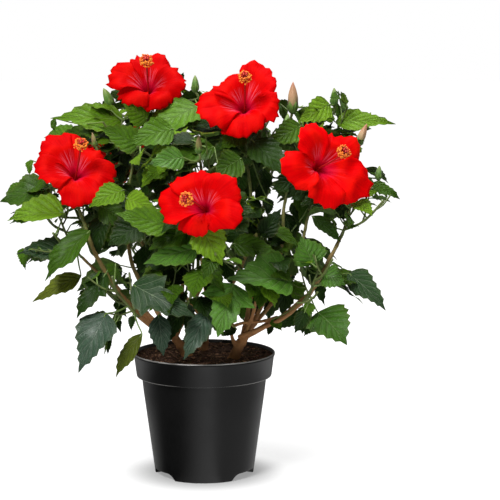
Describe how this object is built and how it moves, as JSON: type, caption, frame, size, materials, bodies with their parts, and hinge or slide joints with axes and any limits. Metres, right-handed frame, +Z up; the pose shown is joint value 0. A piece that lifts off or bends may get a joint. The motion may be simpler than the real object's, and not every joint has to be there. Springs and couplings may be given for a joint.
{
  "type": "potted shrub",
  "caption": "Bushy flowering hibiscus shrub with broad red blossoms and toothed leaves, standing in a black tapered nursery pot.",
  "frame": {"origin": "middle of the flat underside of the pot, on the surface that it stands on", "axes": "+Z up along the pot; +X to the right of a person who faces the front of the shrub; -Y from the pot towards that person"},
  "size_m": [0.472, 0.4179, 0.504],
  "materials": {
    "pot": "black moulded plastic with a soft satin sheen",
    "compost": "rough damp bark compost, matt",
    "bark": "thin fissured bark, matt, greener on young wood",
    "foliage_bright": "glossy young leaves",
    "foliage_mid": "glossy full-grown leaves",
    "foliage_dark": "glossy old leaves, bluish",
    "petal": "soft velvety petals",
    "pollen": "powdery anthers on a thin column",
    "bud": "smooth closed buds, green to cream"
  },
  "bodies": {
    "root": {"pot": "pot", "compost": "compost", "stem_right": "bark", "stem_left": "bark", "stem_back": "bark", "bough_right_low": "bark", "bough_right_high": "bark", "bough_right_twin": "bark", "bough_middle_right": "bark", "bough_top_right": "bark", "bough_right_top": "bark", "bough_right_back": "bark", "bough_left_high": "bark", "bough_left_tip": "bark", "bough_left_low": "bark", "bough_front_low": "bark", "bough_front": "bark", "bough_upper_middle": "bark", "bough_top_left": "bark", "bough_left_back": "bark", "bough_back_top": "bark", "bough_back_left": "bark", "bough_back_right": "bark", "bough_back_middle": "bark", "bough_back_left_low": "bark", "bough_back_right_low": "bark", "mass_left_high": "foliage_mid", "mass_left_tip": "foliage_mid", "mass_left_low": "foliage_dark", "mass_front_low": "foliage_dark", "mass_middle_right": "foliage_dark", "mass_right_low": "foliage_dark", "mass_right_high": "foliage_mid", "mass_front": "foliage_mid", "mass_upper_middle": "foliage_bright", "mass_top_left": "foliage_bright", "mass_top_right": "foliage_bright", "mass_right_top": "foliage_bright", "mass_right_back": "foliage_mid", "mass_left_back": "foliage_mid", "mass_back_top": "foliage_bright", "mass_back_left": "foliage_bright", "mass_back_right": "foliage_bright", "mass_back_middle": "foliage_mid", "mass_back_left_low": "foliage_dark", "mass_back_right_low": "foliage_dark"}
  },
  "joints": []
}
